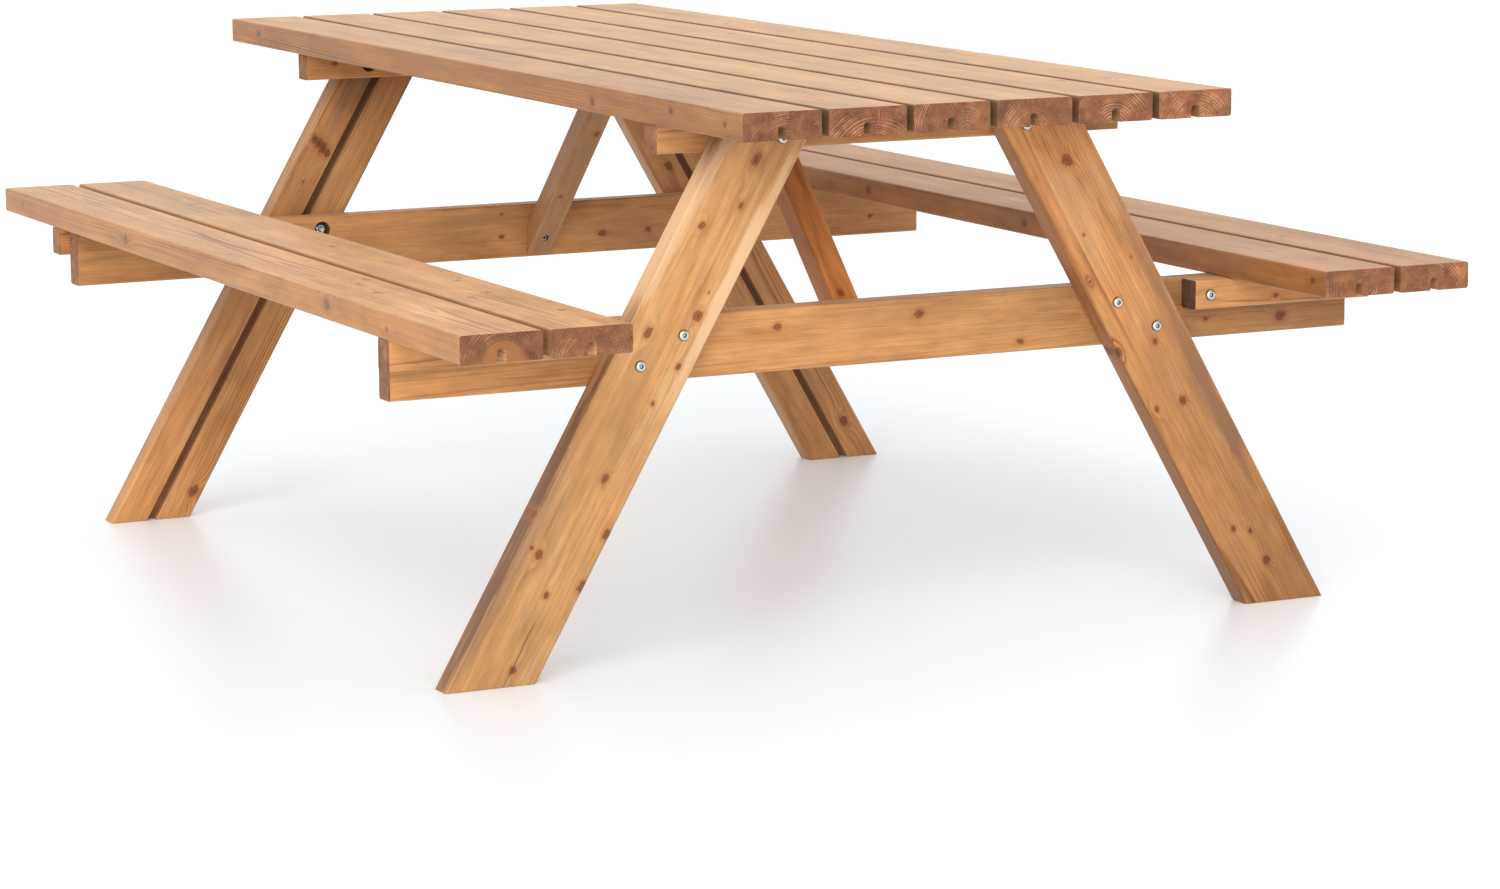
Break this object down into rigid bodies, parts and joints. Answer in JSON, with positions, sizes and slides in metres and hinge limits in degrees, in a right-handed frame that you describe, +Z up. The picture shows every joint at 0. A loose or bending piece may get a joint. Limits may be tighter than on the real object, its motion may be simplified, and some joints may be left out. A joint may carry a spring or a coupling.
{
  "type": "picnic table",
  "caption": "Softwood A-frame picnic table with a slatted top, a bench along each side, cross rails, battens, diagonal braces and button-head bolts.",
  "frame": {"origin": "on the ground, under the middle of the tabletop", "axes": "+X along the planks, +Y across the table towards one bench, +Z up"},
  "size_m": [1.82, 1.472, 0.745],
  "materials": {
    "timber": "planed softwood with a brown stain, matt",
    "fastener": "bright zinc plate"
  },
  "bodies": {
    "root": {"top_plank_1": "timber", "top_plank_2": "timber", "top_plank_3": "timber", "top_plank_4": "timber", "top_plank_5": "timber", "top_plank_6": "timber", "left_seat_plank_inner": "timber", "left_seat_plank_outer": "timber", "right_seat_plank_inner": "timber", "right_seat_plank_outer": "timber", "near_rail": "timber", "near_top_batten": "timber", "near_brace": "timber", "near_left_leg": "timber", "near_left_seat_batten": "timber", "near_right_leg": "timber", "near_right_seat_batten": "timber", "far_rail": "timber", "far_top_batten": "timber", "far_brace": "timber", "far_left_leg": "timber", "far_left_seat_batten": "timber", "far_right_leg": "timber", "far_right_seat_batten": "timber", "near_left_rail_lower_bolt": "fastener", "near_left_rail_lower_nut": "fastener", "near_left_rail_upper_bolt": "fastener", "near_left_rail_upper_nut": "fastener", "near_left_top_outer_bolt": "fastener", "near_left_top_outer_nut": "fastener", "near_left_top_inner_bolt": "fastener", "near_left_top_inner_nut": "fastener", "near_left_seat_bolt": "fastener", "near_right_rail_lower_bolt": "fastener", "near_right_rail_lower_nut": "fastener", "near_right_rail_upper_bolt": "fastener", "near_right_rail_upper_nut": "fastener", "near_right_top_outer_bolt": "fastener", "near_right_top_outer_nut": "fastener", "near_right_top_inner_bolt": "fastener", "near_right_top_inner_nut": "fastener", "near_right_seat_bolt": "fastener", "far_left_rail_lower_bolt": "fastener", "far_left_rail_lower_nut": "fastener", "far_left_rail_upper_bolt": "fastener", "far_left_rail_upper_nut": "fastener", "far_left_top_outer_bolt": "fastener", "far_left_top_outer_nut": "fastener", "far_left_top_inner_bolt": "fastener", "far_left_top_inner_nut": "fastener", "far_left_seat_bolt": "fastener", "far_right_rail_lower_bolt": "fastener", "far_right_rail_lower_nut": "fastener", "far_right_rail_upper_bolt": "fastener", "far_right_rail_upper_nut": "fastener", "far_right_top_outer_bolt": "fastener", "far_right_top_outer_nut": "fastener", "far_right_top_inner_bolt": "fastener", "far_right_top_inner_nut": "fastener", "far_right_seat_bolt": "fastener"}
  },
  "joints": []
}
